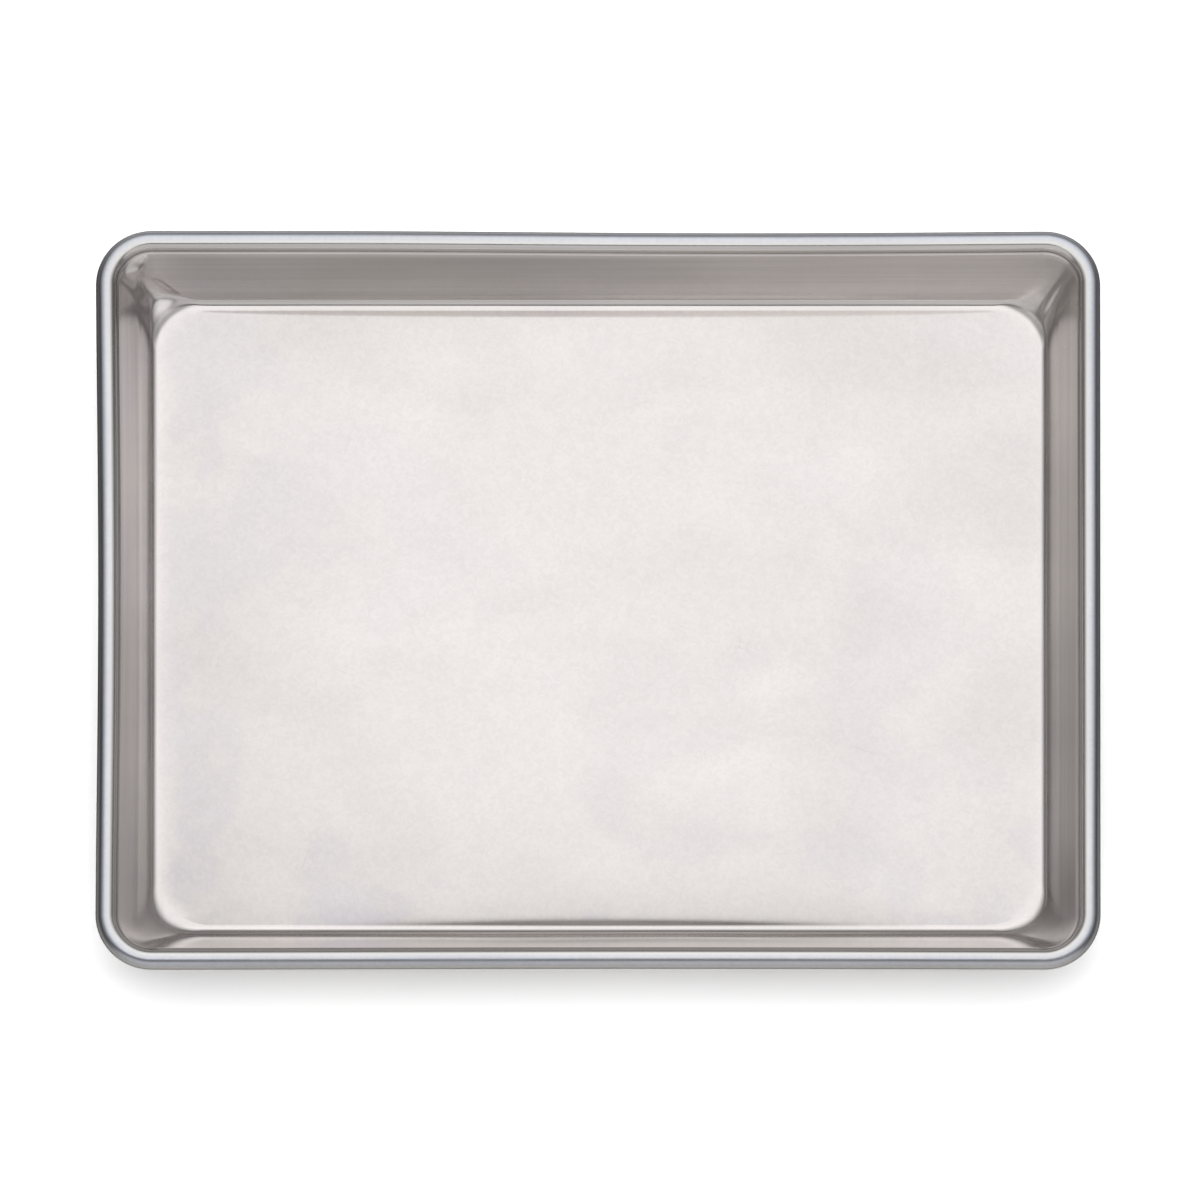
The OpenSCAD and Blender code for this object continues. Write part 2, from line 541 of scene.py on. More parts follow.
    def painted_shade(self, point: Vector, inside: float, angle: float) -> float:
        """Return the share of the tone that painted shade takes from the floor, a distance inside its edge."""
        covered = max(1 - math.exp(-inside / self.shade_reach), eased(self.shade_front, 1, -math.sin(angle)))
        return covered * sum(painted_shading.shade_strength(point) for painted_shading in self.shade_and_smudges)

    def wall_painted_shading(self, point: Vector, inset: float) -> float:
        """Return the share of the tone that painted shade takes from a wall, below 0 for a painted highlight.
        """
        clear = eased(*self.wall_shading_levels, point.z) * eased(*self.wall_shading_insets, inset)
        return clear * sum(painted_shading.shade_strength(point) for painted_shading in self.wall_shadings)


class Mark(Enum):
    """Attributes on the sheet that tell a finish where it is."""

    FACES_X = "faces_x"
    ON_FLOOR = "on_floor"
    # painted shade in the floor's bend and the groove, which also roughens the metal there
    CREASE = "crease_shade"
    FACES_OUT = "faces_out"
    # painted shade on the outer side of the curl
    RIM_SHADE = "rim_shade"
    # painted shade lines along the floor's edge and at the foot of the back corners
    FOLD_SHADE = "fold"
    # painted shade patches, and painted highlights where they are below 0
    PAINTED_SHADING = "painted_shading"
    SATIN = "satin"


class Wiring:
    """Adds nodes to one node tree and joins them."""

    def __init__(self, tree: bpy.types.NodeTree) -> None:
        """Keep the tree of a material, a world or a group."""
        self.tree = tree

    def feed(self, socket: Socket, value: object) -> None:
        """Give a socket its value.

        Args:
            socket: Input of a node.
            value: Number or colour to set, or a socket to join.
        """
        if isinstance(value, Socket):
            self.tree.links.new(value, socket)
        else:
            socket.default_value = value

    def add(self, kind: str, values: dict | None = None, **settings: object) -> bpy.types.Node:
        """Add a node.

        Args:
            kind: Blender's name for the type of node.
            values: Number, colour or socket for each numbered or named input.
            **settings: Properties of the node.

        Returns:
            The new node.
        """
        node = self.tree.nodes.new(kind)
        for name, value in settings.items():
            setattr(node, name, value)
        for label, value in (values or {}).items():
            self.feed(node.inputs[label], value)
        return node

    def math(self, operation: str, first: object, second: object = 0.0, clamp: bool = False) -> Socket:
        """Return the result of two numbers or sockets, kept between 0 and 1 if clamped."""
        values = {0: first, 1: second}
        return self.add("ShaderNodeMath", values, operation=operation, use_clamp=clamp).outputs[0]

    def product(self, *factors: object) -> Socket:
        """Return the product of numbers and sockets, multiplied one after the other."""
        return reduce(partial(self.math, "MULTIPLY"), factors)

    def ramp(self, value: object, low: float, high: float, start: float = 0.0, end: float = 1.0) -> Socket:
        """Return a value that goes gently from start to end as another goes from low to high."""
        values = {"Value": value, "From Min": low, "From Max": high, "To Min": start, "To Max": end}
        return self.add("ShaderNodeMapRange", values, interpolation_type="SMOOTHSTEP").outputs["Result"]

    def blend(self, share: object, first: object, second: object, is_colour: bool = False) -> Socket:
        """Return two numbers or colours mixed by a share, 0 for the first and 1 for the second."""
        kind, label, result = ("RGBA", 6, 2) if is_colour else ("FLOAT", 2, 0)
        values = {0: share, label: first, label + 1: second}
        return self.add("ShaderNodeMix", values, data_type=kind).outputs[result]

    def clouds(self, place: Socket, scale: object, detail: float = 2.0, rough: float = 0.5,
               twist: float = 0.0) -> Socket:
        """Return noise of a scale in waves per metre, with finer layers, their strength and a twist."""
        values = {"Vector": place, "Scale": scale, "Detail": detail, "Roughness": rough, "Distortion": twist}
        return self.add("ShaderNodeTexNoise", values, noise_dimensions="3D").outputs["Fac"]

    def stretched(self, place: Socket, scale: Axes, turn: float = 0.0) -> Socket:
        """Return coordinates turned about Z and then scaled along each axis."""
        turned = self.add("ShaderNodeVectorRotate", {"Vector": place, "Angle": turn}, rotation_type="Z_AXIS")
        values = {0: turned.outputs[0], 1: scale}
        return self.add("ShaderNodeVectorMath", values, operation="MULTIPLY").outputs[0]

    def group(self, tree: Group, place: Socket, **values: object) -> bpy.types.bpy_prop_collection:
        """Add a node group and return its outputs; a label's space is written as an underscore."""
        labelled = {label.replace("_", " "): value for label, value in values.items()}
        return self.add("ShaderNodeGroup", {"Place": place, **labelled}, node_tree=tree).outputs

    def show(self, shader: bpy.types.Node, output: str = "ShaderNodeOutputMaterial") -> None:
        """Join a shader to a new output node."""
        self.add(output, {"Surface": shader.outputs[0]})

    def show_metal(self, colour: Socket, rough: Socket, height: Socket, bump: float,
                   edge_tint: Colour = (1.0, 1.0, 1.0)) -> None:
        """Add the shader of bare metal with its bump, and show it.

        Args:
            colour: Socket with the colour.
            rough: Socket with the roughness.
            height: Socket with the height of the bump.
            bump: Strength of the bump.
            edge_tint: Reflection near grazing angles.
        """
        bumped = self.add("ShaderNodeBump", {"Strength": bump, "Distance": BUMP_DEPTH, "Height": height})
        self.show(self.add("ShaderNodeBsdfPrincipled", {
            "Metallic": 1.0,
            "Specular Tint": (*edge_tint, 1.0),
            "Base Color": colour,
            "Roughness": rough,
            "Normal": bumped.outputs["Normal"],
        }))


def new_material(name: str) -> tuple[bpy.types.Material, Wiring]:
    """Make an empty material.

    Args:
        name: Name of the material.

    Returns:
        The material and its wiring.
    """
    material = bpy.data.materials.new(name)
    material.use_nodes = True
    material.node_tree.nodes.clear()
    return material, Wiring(material.node_tree)


def new_group(name: str, values: dict[str, object], outputs: Sequence[str]) -> tuple[Wiring, Sockets, Sockets]:
    """Make a shader node group that has the coordinates as its first input, Place.

    Args:
        name: Name of the group.
        values: Default of each further input, a number or a vector.
        outputs: Names of the outputs, each a number.

    Returns:
        The group's wiring, its inputs and its outputs by name.
    """
    tree = bpy.data.node_groups.new(name, "ShaderNodeTree")
    tree.interface.new_socket("Place", in_out="INPUT", socket_type="NodeSocketVector")
    for label, value in values.items():
        kind = "NodeSocketFloat" if isinstance(value, float) else "NodeSocketVector"
        tree.interface.new_socket(label, in_out="INPUT", socket_type=kind).default_value = value
    for label in outputs:
        tree.interface.new_socket(label, in_out="OUTPUT", socket_type="NodeSocketFloat")
    wires = Wiring(tree)
    start, end = wires.add("NodeGroupInput").outputs, wires.add("NodeGroupOutput").inputs
    return wires, dict(start.items()), dict(end.items())


class Effects:
    """Node groups that the finishes share, each built once."""

    def __init__(self) -> None:
        """Build the groups."""
        self.long_grain = self._long_grain()
        self.buff_marks = self._buff_marks()
        self.smudges = self._smudges()
        self.scratches = self._scratches()
        self.mottling = self._mottling()

    @staticmethod
    def _long_grain() -> Group:
        """Build fine lines that run round the pan, along X or along Y as the surface faces.

        Returns:
            The group.
        """
        wires, start, end = new_group("Long grain", {"Faces X": 0.0, "Lines": 2600.0}, ["Height"])
        run_share = 0.012
        along_x, along_y = (
            wires.clouds(wires.stretched(start["Place"], scale), start["Lines"], 3.0, 0.6)
            for scale in ((run_share, 1, 1), (1, run_share, 1))
        )
        wires.feed(end["Height"], wires.blend(start["Faces X"], along_x, along_y))
        return wires.tree

    @staticmethod
    def _buff_marks() -> Group:
        """Build the short crossing marks that a buffing pad leaves on the floor.

        Returns:
            The group.
        """
        wires, start, end = new_group("Buff marks", {"Lines": 900.0}, ["Height"])
        place, run_share = start["Place"], 0.05
        first, second, third = (
            wires.clouds(wires.stretched(place, (run_share, 1, 1), turn), start["Lines"], 2.0, 0.6)
            for turn in (0.35, 1.25, 2.3)
        )
        where = wires.clouds(place, 28.0, 0.0)
        other = wires.clouds(wires.stretched(place, (1, 1, 1), 0.8), 45.0, 0.0)
        mixed = wires.blend(wires.ramp(where, 0.3, 0.7), first, second)
        wires.feed(end["Height"], wires.blend(wires.ramp(other, 0.35, 0.75), mixed, third))
        return wires.tree

    @staticmethod
    def _smudges() -> Group:
        """Build soft uneven patches, such as wiping leaves on bare metal.

        Returns:
            The group.
        """
        values = {"Size": 12.0, "Shift": (0.0, 0.0, 0.0)}
        wires, start, end = new_group("Smudges", values, ["Clouds", "Wipes"])
        shifted = wires.add("ShaderNodeVectorMath", {0: start["Place"], 1: start["Shift"]}, operation="ADD")
        place, size = shifted.outputs["Vector"], start["Size"]
        clouds = wires.clouds(place, size, 1.5, 0.5, 0.4)
        finer = wires.product(size, 2.2)
        wipes = wires.clouds(wires.stretched(place, (0.6, 1.1, 1), 0.04), finer, 1.5, 0.5, 0.5)
        wires.feed(end["Clouds"], wires.ramp(clouds, 0.33, 0.67))
        wires.feed(end["Wipes"], wires.ramp(wipes, 0.4, 0.66))
        return wires.tree

    @staticmethod
    def _mottling() -> Group:
        """Build the fine curled grain of worn satin and larger patches with ragged edges.

        Returns:
            The group.
        """
        wires, start, end = new_group("Mottling", {"Size": 16.0, "Curls": 420.0}, ["Grain", "Patches"])
        curls = wires.clouds(start["Place"], start["Curls"], 2.0, 0.65, 1.4)
        patches = wires.clouds(start["Place"], start["Size"], 6.0, 0.62, 0.2)
        wires.feed(end["Grain"], wires.ramp(curls, 0.3, 0.7))
        wires.feed(end["Patches"], wires.ramp(patches, 0.46, 0.57))
        return wires.tree

    @staticmethod
    def _scratches() -> Group:
        """Build sparse hairline scratches in two directions.

        Returns:
            The group.
        """
        wires, start, end = new_group("Hairline scratches", {"Spread": 1400.0}, ["Mask"])
        place, spread = start["Place"], start["Spread"]
        run_share, rarity = 0.01, 0.04
        masks = []
        for turn in (0.35, 1.9):
            lines = wires.clouds(wires.stretched(place, (run_share, 1, 1), turn), spread, 0.0)
            where = wires.clouds(place, wires.product(spread, rarity), 2.0, 0.6)
            masks.append(wires.product(wires.ramp(lines, 0.76, 0.84), wires.ramp(where, 0.5, 0.65)))
        wires.feed(end["Mask"], wires.math("MAXIMUM", *masks))
        return wires.tree


@dataclass(frozen=True)
class AluminiumFinish:
    """Finish of one zone of the aluminium sheet."""

    name: str
    metal: Colour
    cool: Colour  # tint of the cooler patches
    outer: Colour  # colour of the flank that faces up and outward; where it differs from the metal it is a painted reflection of bluish light
    edge_tint: Colour = (1.0, 1.0, 1.0)  # reflection near grazing angles
    floor_roughness: float = 0.29
    wall_roughness: float = 0.1
    end_roughness: float = 0.21  # roughness of the end walls and the drawn corners
    grain: float = 0.1
    drawing: float = 0.08  # how much the lines of the drawing change the tone of the walls
    drawn_lines: float = 600.0  # those lines per metre
    buffing: float = 0.08  # strength of the buff marks
    smudging: float = 0.05  # how much the smudges change the tone and roughness
    patch_size: float = 14.0  # smudges per metre in the patches
    film_size: float = 10.0  # smudges per metre in the films
    film_shift: Axes = (3.1, 1.7, 0.4)  # shift that keeps the films off the patches
    mottling: float = 0.065  # how much the fine grain changes the tone of the floor
    scratching: float = 0.25  # how much the hairline scratches show
    crease_shade_tone: float = 0.7  # tone of the painted shade in creases, as a share of the clean metal
    rim_shade: float = 0.6  # tone of the painted shade on the outer side of the rim, as a share of the clean metal
    flank_start: Place = (0.25, 0.65)  # how far out the sheet faces where the flank sets in
    flank_end: Place = (0.98, 0.78)  # how far out it faces where the flank fades out
    wall_cooling: float = 0.35  # share of the cool tint in the films of the walls
    bare_cooling: float = 0.3  # share of it in the floor's patches that bear no painted shade
    shade_cooling: float = 4.5  # how fast the painted shade of the floor adds to that share
    bump: float = 0.35

    def build(self, effects: Effects) -> bpy.types.Material:
        """Make the material.

        Args:
            effects: The shared node groups.

        Returns:
            The material.
        """
        material, wires = new_material(self.name)
        place = wires.add("ShaderNodeTexCoord").outputs["Object"]
        marks = {
            mark: wires.add("ShaderNodeAttribute", attribute_name=mark.value).outputs["Fac"] for mark in Mark
        }
        on_floor, faces_x, faces_out = (marks[mark] for mark in (Mark.ON_FLOOR, Mark.FACES_X, Mark.FACES_OUT))

        grain = wires.group(effects.long_grain, place, Faces_X=faces_x)["Height"]
        lines = wires.group(effects.long_grain, place, Faces_X=faces_x, Lines=self.drawn_lines)["Height"]
        buffs = wires.group(effects.buff_marks, place)["Height"]
        patches = wires.group(effects.smudges, place, Size=self.patch_size)
        shade_and_smudges = wires.group(effects.smudges, place, Size=self.film_size, Shift=self.film_shift)
        scratches = wires.group(effects.scratches, place)["Mask"]
        mottles = wires.group(effects.mottling, place)

        curled = wires.product(wires.math("SUBTRACT", mottles["Grain"], 0.5), self.mottling, on_floor)
        drawn = wires.blend(on_floor, wires.ramp(lines, 0.3, 0.7), 0.5)
        breakup = wires.math(
            "ADD",
            wires.product(wires.math("SUBTRACT", grain, 0.5), 0.12),
            wires.product(wires.math("SUBTRACT", patches["Clouds"], 0.5), 0.06),
        )
        tone = wires.product(
            wires.blend(patches["Clouds"], 1 - self.smudging, 1.0),
            wires.blend(shade_and_smudges["Wipes"], 1.0, 1 - 0.6 * self.smudging),
            wires.blend(scratches, 1.0, 1 - 0.3 * self.scratching),
            # painted shade in the creases
            wires.blend(marks[Mark.CREASE], 1.0, self.crease_shade_tone),
            # painted shade lines along the floor's edge and at the back corners
            wires.math("SUBTRACT", 1.0, marks[Mark.FOLD_SHADE]),
            # painted shade and painted highlight patches
            wires.math("SUBTRACT", 1.0, marks[Mark.PAINTED_SHADING]),
            wires.math("ADD", 1.0, curled),
            wires.blend(drawn, 1 - self.drawing, 1.0),
            # painted shade on the outer side of the curl
            wires.blend(wires.math("ADD", marks[Mark.RIM_SHADE], breakup, clamp=True), 1.0, self.rim_shade),
        )

        # Painted reflection: the flank that faces up and outward takes the outer colour, a tint that stands in
        # for the light it reflects.
        painted_flank, far = (wires.ramp(faces_out, *edge) for edge in (self.flank_start, self.flank_end))
        painted_flank = wires.product(painted_flank, far)
        colour = wires.blend(painted_flank, (*self.metal, 1.0), (*self.outer, 1.0), True)
        # the cool tint grows with the painted shade of the floor
        painted_shade = wires.product(marks[Mark.PAINTED_SHADING], self.shade_cooling)
        painted_shade = wires.math("ADD", painted_shade, self.bare_cooling, clamp=True)
        cooled_walls = wires.product(shade_and_smudges["Clouds"], self.wall_cooling)
        cooler = wires.blend(on_floor, cooled_walls, wires.product(mottles["Patches"], painted_shade))
        colour = wires.blend(cooler, colour, (*self.cool, 1.0), True)
        shaded = wires.add("ShaderNodeVectorMath", {0: colour, "Scale": tone}, operation="SCALE")

        rough = wires.blend(marks[Mark.SATIN], self.wall_roughness, self.end_roughness)
        rough = wires.blend(on_floor, rough, self.floor_roughness)
        for change in (
            wires.blend(patches["Wipes"], 0.0, 0.9 * self.smudging),
            wires.blend(shade_and_smudges["Clouds"], 0.5 * self.smudging, -0.1 * self.smudging),
        ):
            rough = wires.math("ADD", rough, change)
        rough = wires.math("ADD", rough, wires.product(marks[Mark.CREASE], 0.1), clamp=True)

        height = wires.blend(on_floor, wires.product(grain, self.grain), wires.product(buffs, self.buffing))
        height = wires.math("ADD", height, wires.product(drawn, 0.6 * self.grain))
        height = wires.math("SUBTRACT", height, wires.product(scratches, 0.15 * self.scratching))
        wires.show_metal(shaded.outputs["Vector"], rough, height, self.bump, self.edge_tint)
        return material


@dataclass(frozen=True)
class ZincFinish:
    """Finish of the galvanised wire."""

    name: str = "galvanised_wire"
    zinc: Colour = (0.56, 0.57, 0.59)
    dull: Colour = (0.42, 0.43, 0.45)
    bloom_size: float = 180.0  # blooms per metre
    roughness: Place = (0.42, 0.54)  # roughness of the wire, at its smoothest and at its roughest
    bump: float = 0.3

    def build(self, effects: Effects) -> bpy.types.Material:
        """Make the material.

        Args:
            effects: The shared node groups.

        Returns:
            The material.
        """
        material, wires = new_material(self.name)
        place = wires.add("ShaderNodeTexCoord").outputs["Object"]
        blooms = wires.group(effects.smudges, place, Size=self.bloom_size)
        grain = wires.group(effects.buff_marks, place)["Height"]
        colour = wires.blend(blooms["Clouds"], (*self.zinc, 1.0), (*self.dull, 1.0), True)
        wires.show_metal(colour, wires.ramp(blooms["Wipes"], 0.0, 1.0, *self.roughness), grain, self.bump)
        return material


INSIDE = AluminiumFinish(
    name="tray_inside", metal=(0.805, 0.768, 0.744), cool=(0.750, 0.712, 0.735), outer=(0.805, 0.768, 0.744),
    scratching=0.15, rim_shade=1.0,
)
# The rim's bluish outer colour is a painted reflection, and its outer side is made darker as painted shade.
CURL = AluminiumFinish(
    name="rim_curl", metal=(0.725, 0.70, 0.675), cool=(0.70, 0.70, 0.71), outer=(0.66, 0.68, 0.745),
    edge_tint=(0.3, 0.3, 0.3), wall_roughness=0.14, end_roughness=0.22, smudging=0.04, rim_shade=0.21,
)
BACK = AluminiumFinish(
    name="tray_back", metal=(0.70, 0.675, 0.655), cool=(0.66, 0.655, 0.665), outer=(0.70, 0.675, 0.655),
    floor_roughness=0.38, wall_roughness=0.29, end_roughness=0.32, grain=0.16, buffing=0.14, smudging=0.09,
    scratching=0.6, rim_shade=1.0,
)


class SheetMesh:
    """The sheet's mesh while it is built, with the marks of its points."""

    def __init__(self) -> None:
        """Start without points."""
        self.mesh = bmesh.new()
        self.layers = {mark: self.mesh.verts.layers.float.new(mark.value) for mark in Mark}

    def point(self, place: Vector, marks: dict[Mark, float]) -> bmesh.types.BMVert:
        """Add a point.

        Args:
            place: Where it lies.
            marks: Its marks; a mark that is left out is 0.

        Returns:
            The point.
        """
        vert = self.mesh.verts.new(place)
        for mark, value in marks.items():
            vert[self.layers[mark]] = value
        return vert

    def fan(self, ring: Ring, centre: bmesh.types.BMVert, faces_down: bool, zone: int) -> None:
        """Close a ring with a fan of faces.

        Args:
            ring: The ring.
            centre: Point in its middle.
            faces_down: Whether the faces look down.
            zone: Place of their finish among the sheet's finishes.
        """
        for index in range(len(ring)):
            pair = (ring[index], ring[(index + 1) % len(ring)])
            face = self.mesh.faces.new((centre, *(reversed(pair) if faces_down else pair)))
            face.smooth = True
            face.material_index = zone


@dataclass
class TraySheet:
    """The drawn aluminium sheet: floor, walls, shelf and curled rim."""

    plan: Plan
    section: TraySection
    name: str = "drawn_tray"
    # Shares of the way from the floor's edge to its middle
    floor_shares: tuple[float, ...] = (
        0.003, 0.006, 0.009, 0.012, 0.015, 0.019, 0.023, 0.028, 0.034, 0.041, 0.05, 0.062, 0.08,
        0.11, 0.15, 0.2, 0.27, 0.35, 0.44, 0.54, 0.65, 0.77, 0.89,
    )
    bend_shade: float = 0.45  # strength of the painted shade in the floor's bend
    bend_reach: float = 1.1  # its reach, as a share of the bend's radius
    groove_reach: float = 1.6  # reach of the painted shade in the groove, as a share of that bend's radius
    groove_slope: float = math.radians(65)  # slope of the sheet where the painted shade in the groove is darkest
    rim_shade_left: float = 1.0  # strength of the painted shade on the outer side of the curl on the left; the others likewise
    rim_shade_right: float = 0.9
    rim_shade_back: float = 0.32
    rim_shade_front: float = 0.1
    front_share: float = 0.72  # share of that left near the front on the two ends
    # Places across the pan, as shares of half its width, between which it changes
    front_start: Place = (-0.15, -0.75)
    rim_shade_edges: Place = (0.3, 0.8)  # how far out the curl faces where the painted shade starts and is whole, behind
    front_rim_shade_edges: Place = (0.1, 0.6)  # the same in front
    corner_shade_line: float = 0.5  # strength of the painted shade line at the foot of the back corners
    # How far round the corner that line starts and is whole, up to 1 in its middle
    line_corner: Place = (0.1, 0.75)
    # Slopes of the sheet where its lower side starts and is whole
    line_foot: Place = (math.radians(19), math.radians(29))
    # Slopes of the sheet where its upper side is gone and still whole
    line_top: Place = (math.radians(46), math.radians(34))
    shade_line_top: float = 3 * MM  # height up to which the sheet bears the painted shade lines
    shade_depth: float = 50 * MM  # distance from the floor's edge beyond which the painted shade stays even
    headings: list[Heading] = field(init=False)

    def __post_init__(self) -> None:
        """Work out the headings once."""
        self.headings = self.plan.headings()

    def _crease_shade(self, place: Place) -> float:
        """Return the strength of the painted shade at a place, in the floor's bend and in the groove.

        Args:
            place: Inset and height on the section.

        Returns:
            Strength from 0 to 1.
        """
        section = self.section
        bend = eased(section.floor_bend_r * self.bend_reach, 0, math.dist(place, section.wall_foot))
        deepest = moved(section.groove_centre, -section.groove_bend_r, self.groove_slope)
        groove = eased(section.groove_bend_r * self.groove_reach, 0, math.dist(place, deepest))
        return max(self.bend_shade * bend, groove)

    def _corner_shade_line(self, slope: float, heading: Heading) -> float:
        """Return the strength of the thin painted shade line at the foot of the two back corners.

        Args:
            slope: Slope of the sheet.
            heading: Direction round the pan.

        Returns:
            Strength from 0 to 1.
        """
        if heading.side_y < 0 or not 0 < slope <= self.section.wall_slope:
            return 0.0
        round_corner = eased(*self.line_corner, abs(math.sin(2 * heading.angle)))
        return self.corner_shade_line * round_corner * eased(*self.line_foot, slope) * eased(*self.line_top, slope)

    def _rim_shade(self, slope: float, heading: Heading, point: Vector) -> float:
        """Return the strength of the painted shade on the outer side of the curl.

        Args:
            slope: Slope of the sheet.
            heading: Direction round the pan.
            point: Point of the true shape.

        Returns:
            Strength from 0 to 1, most on the two ends, where it grows wider and weaker towards the front.
        """
        if not -math.pi < slope < 0:
            return 0.0
        across, deep = math.cos(heading.angle), math.sin(heading.angle)
        front = eased(*self.front_start, point.y / (self.plan.width / 2))
        end = (self.rim_shade_right if across > 0 else self.rim_shade_left) * between(1, self.front_share, front)
        side = self.rim_shade_back if deep > 0 else self.rim_shade_front
        edges = (between(*pair, front) for pair in zip(self.rim_shade_edges, self.front_rim_shade_edges))
        return eased(*edges, math.sin(-slope)) * (end * across ** 2 + side * deep ** 2)

    def _ring(self, sheet: SheetMesh, station: Station, on_face: bool) -> Ring:
        """Add the ring of points at one station.

        Args:
            sheet: The mesh.
            station: The station.
            on_face: Whether the ring is on the inside face, in place of the back.

        Returns:
            The ring.
        """
        place = station.face if on_face else station.back
        ring = []
        for heading in self.headings:
            spot = self.plan.spot(heading, place, station.arc_inset)
            marks = {
                Mark.FACES_X: eased(0.2, 0.8, math.cos(heading.angle) ** 2),
                Mark.ON_FLOOR: eased(self.section.wall_slope * 0.3, 0, station.slope),
                Mark.SATIN: eased(0.0, 0.1, 1 - abs(math.sin(heading.angle))),
            }
            if on_face:
                marks[Mark.CREASE] = self._crease_shade(place)
                marks[Mark.PAINTED_SHADING] = self.plan.wall_painted_shading(spot, place[0])
                marks[Mark.FACES_OUT] = (1 - math.sin(station.slope)) / 2
                marks[Mark.RIM_SHADE] = self._rim_shade(station.slope, heading, spot)
                if place[1] < self.shade_line_top:
                    marks[Mark.FOLD_SHADE] = max(self.plan.shade_strength(spot), self._corner_shade_line(station.slope, heading))
            ring.append(sheet.point(self.plan.flawed(spot, heading), marks))
        return ring

    def _floor_rings(self, sheet: SheetMesh, edge: Ring, on_face: bool) -> list[Ring]:
        """Add the floor's rings inside its edge.

        Args:
            sheet: The mesh.
            edge: The ring at the floor's edge.
            on_face: Whether the rings are on the inside face, in place of the back.

        Returns:
            The rings, from the edge inward.
        """
        faces_x = sheet.layers[Mark.FACES_X]
        rings = []
        for share in self.floor_shares:
            ring = []
            for heading, outer in zip(self.headings, edge):
                spot = Vector((outer.co.x * (1 - share), outer.co.y * (1 - share), outer.co.z))
                spot.z += self.plan.floor_rise(spot, share)
                marks = {Mark.FACES_X: outer[faces_x], Mark.ON_FLOOR: 1.0}
                if on_face:
                    inside = abs(outer.co.x - spot.x) + abs(outer.co.y - spot.y)
                    marks[Mark.FOLD_SHADE] = self.plan.shade_strength(spot)
                    marks[Mark.PAINTED_SHADING] = self.plan.painted_shade(spot, min(inside, self.shade_depth), heading.angle)
                ring.append(sheet.point(spot, marks))
            rings.append(ring)
        return rings

    def build(self) -> bpy.types.Object:
        """Build the sheet as one closed mesh.

        Returns:
            The mesh object.
        """
        sheet = SheetMesh()
        stations = self.section.stations()
        faces = [self._ring(sheet, station, True) for station in stations]
        backs = [self._ring(sheet, station, False) for station in stations]
        floor = self._floor_rings(sheet, faces[0], True)
        underside = self._floor_rings(sheet, backs[0], False)
        rings = floor[::-1] + faces + backs[::-1] + underside
        curl_end = len(floor) + len(faces) - 1
        curl_start = curl_end - self.section.curl_cuts
        for index, (inner, outer) in enumerate(zip(rings, rings[1:])):
            zone = 0 if index < curl_start else 1 if index < curl_end else 2
            join_rings(sheet.mesh, inner, outer, zone)
        for ring, level, faces_down, zone in (
            (rings[0], self.section.sheet_t, False, 0),
            (rings[-1], 0.0, True, 2),
        ):
            middle = Vector((0, 0, level))
            middle.z += self.plan.floor_rise(middle, 1.0)
            sheet.fan(ring, sheet.point(middle, {Mark.ON_FLOOR: 1.0}), faces_down, zone)
        sheet.mesh.normal_update()
        return new_object(self.name, sheet.mesh)

    def dress(self, piece: bpy.types.Object, effects: Effects) -> None:
        """Give the sheet its finishes and its place in the frame.

        Args:
            piece: The mesh object.
            effects: The shared node groups.
        """
        for finish in (INSIDE, CURL, BACK):
            piece.data.materials.append(finish.build(effects))
        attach(piece, BODY)
        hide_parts(SHELL_NODE)


@dataclass
class RimWire:
    """The wire inside the curl, following the rim with its ends close together at the back."""

    plan: Plan
    section: TraySection
    end_gap: float = 1.0 * MM
    around: int = 32  # facets round the wire
    name: str = "wire_rod"

    def _route(self) -> list[Vector]:
        """Work out the wire's centre line.

        Returns:
            Its points, from one end round to the other.
        """
        place, arc_inset = self.section.curl_centre, self.section.rim_corner_r
        line = [
            self.plan.flawed(self.plan.spot(heading, place, arc_inset), heading)
            for heading in self.plan.headings()
        ]
        start = max(range(len(line)), key=lambda index: line[index].y - abs(line[index].x))
        line = line[start:] + line[:start + 1]
        half_gap = Vector((self.end_gap / 2, 0, 0))
        line[0], line[-1] = line[0] - half_gap, line[-1] + half_gap
        return line

    def build(self) -> bpy.types.Object:
        """Build the wire as one closed tube.

        Returns:
            The mesh object.
        """
        mesh = bmesh.new()
        line = self._route()
        up = Vector((0, 0, 1))
        turns = [math.tau * step / self.around for step in range(self.around)]
        radius = self.section.wire_d / 2
        rings = []
        for index, point in enumerate(line):
            before, after = line[max(index - 1, 0)], line[min(index + 1, len(line) - 1)]
            across = (after - before).normalized().cross(up).normalized()
            rings.append([
                mesh.verts.new(point + radius * (across * math.cos(turn) + up * math.sin(turn)))
                for turn in turns
            ])
        for inner, outer in zip(rings, rings[1:]):
            join_rings(mesh, inner, outer)
        for end in (rings[0], rings[-1]):
            mesh.faces.new(end)
        bmesh.ops.recalc_face_normals(mesh, faces=mesh.faces[:])
        return new_object(self.name, mesh)

    def dress(self, piece: bpy.types.Object, effects: Effects) -> None:
        """Give the wire its finish and its place in the frame.

        Args:
            piece: The mesh object.
            effects: The shared node groups.
        """
        piece.data.materials.append(ZincFinish().build(effects))
        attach(piece, BODY)
        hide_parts(WIRE_NODE)


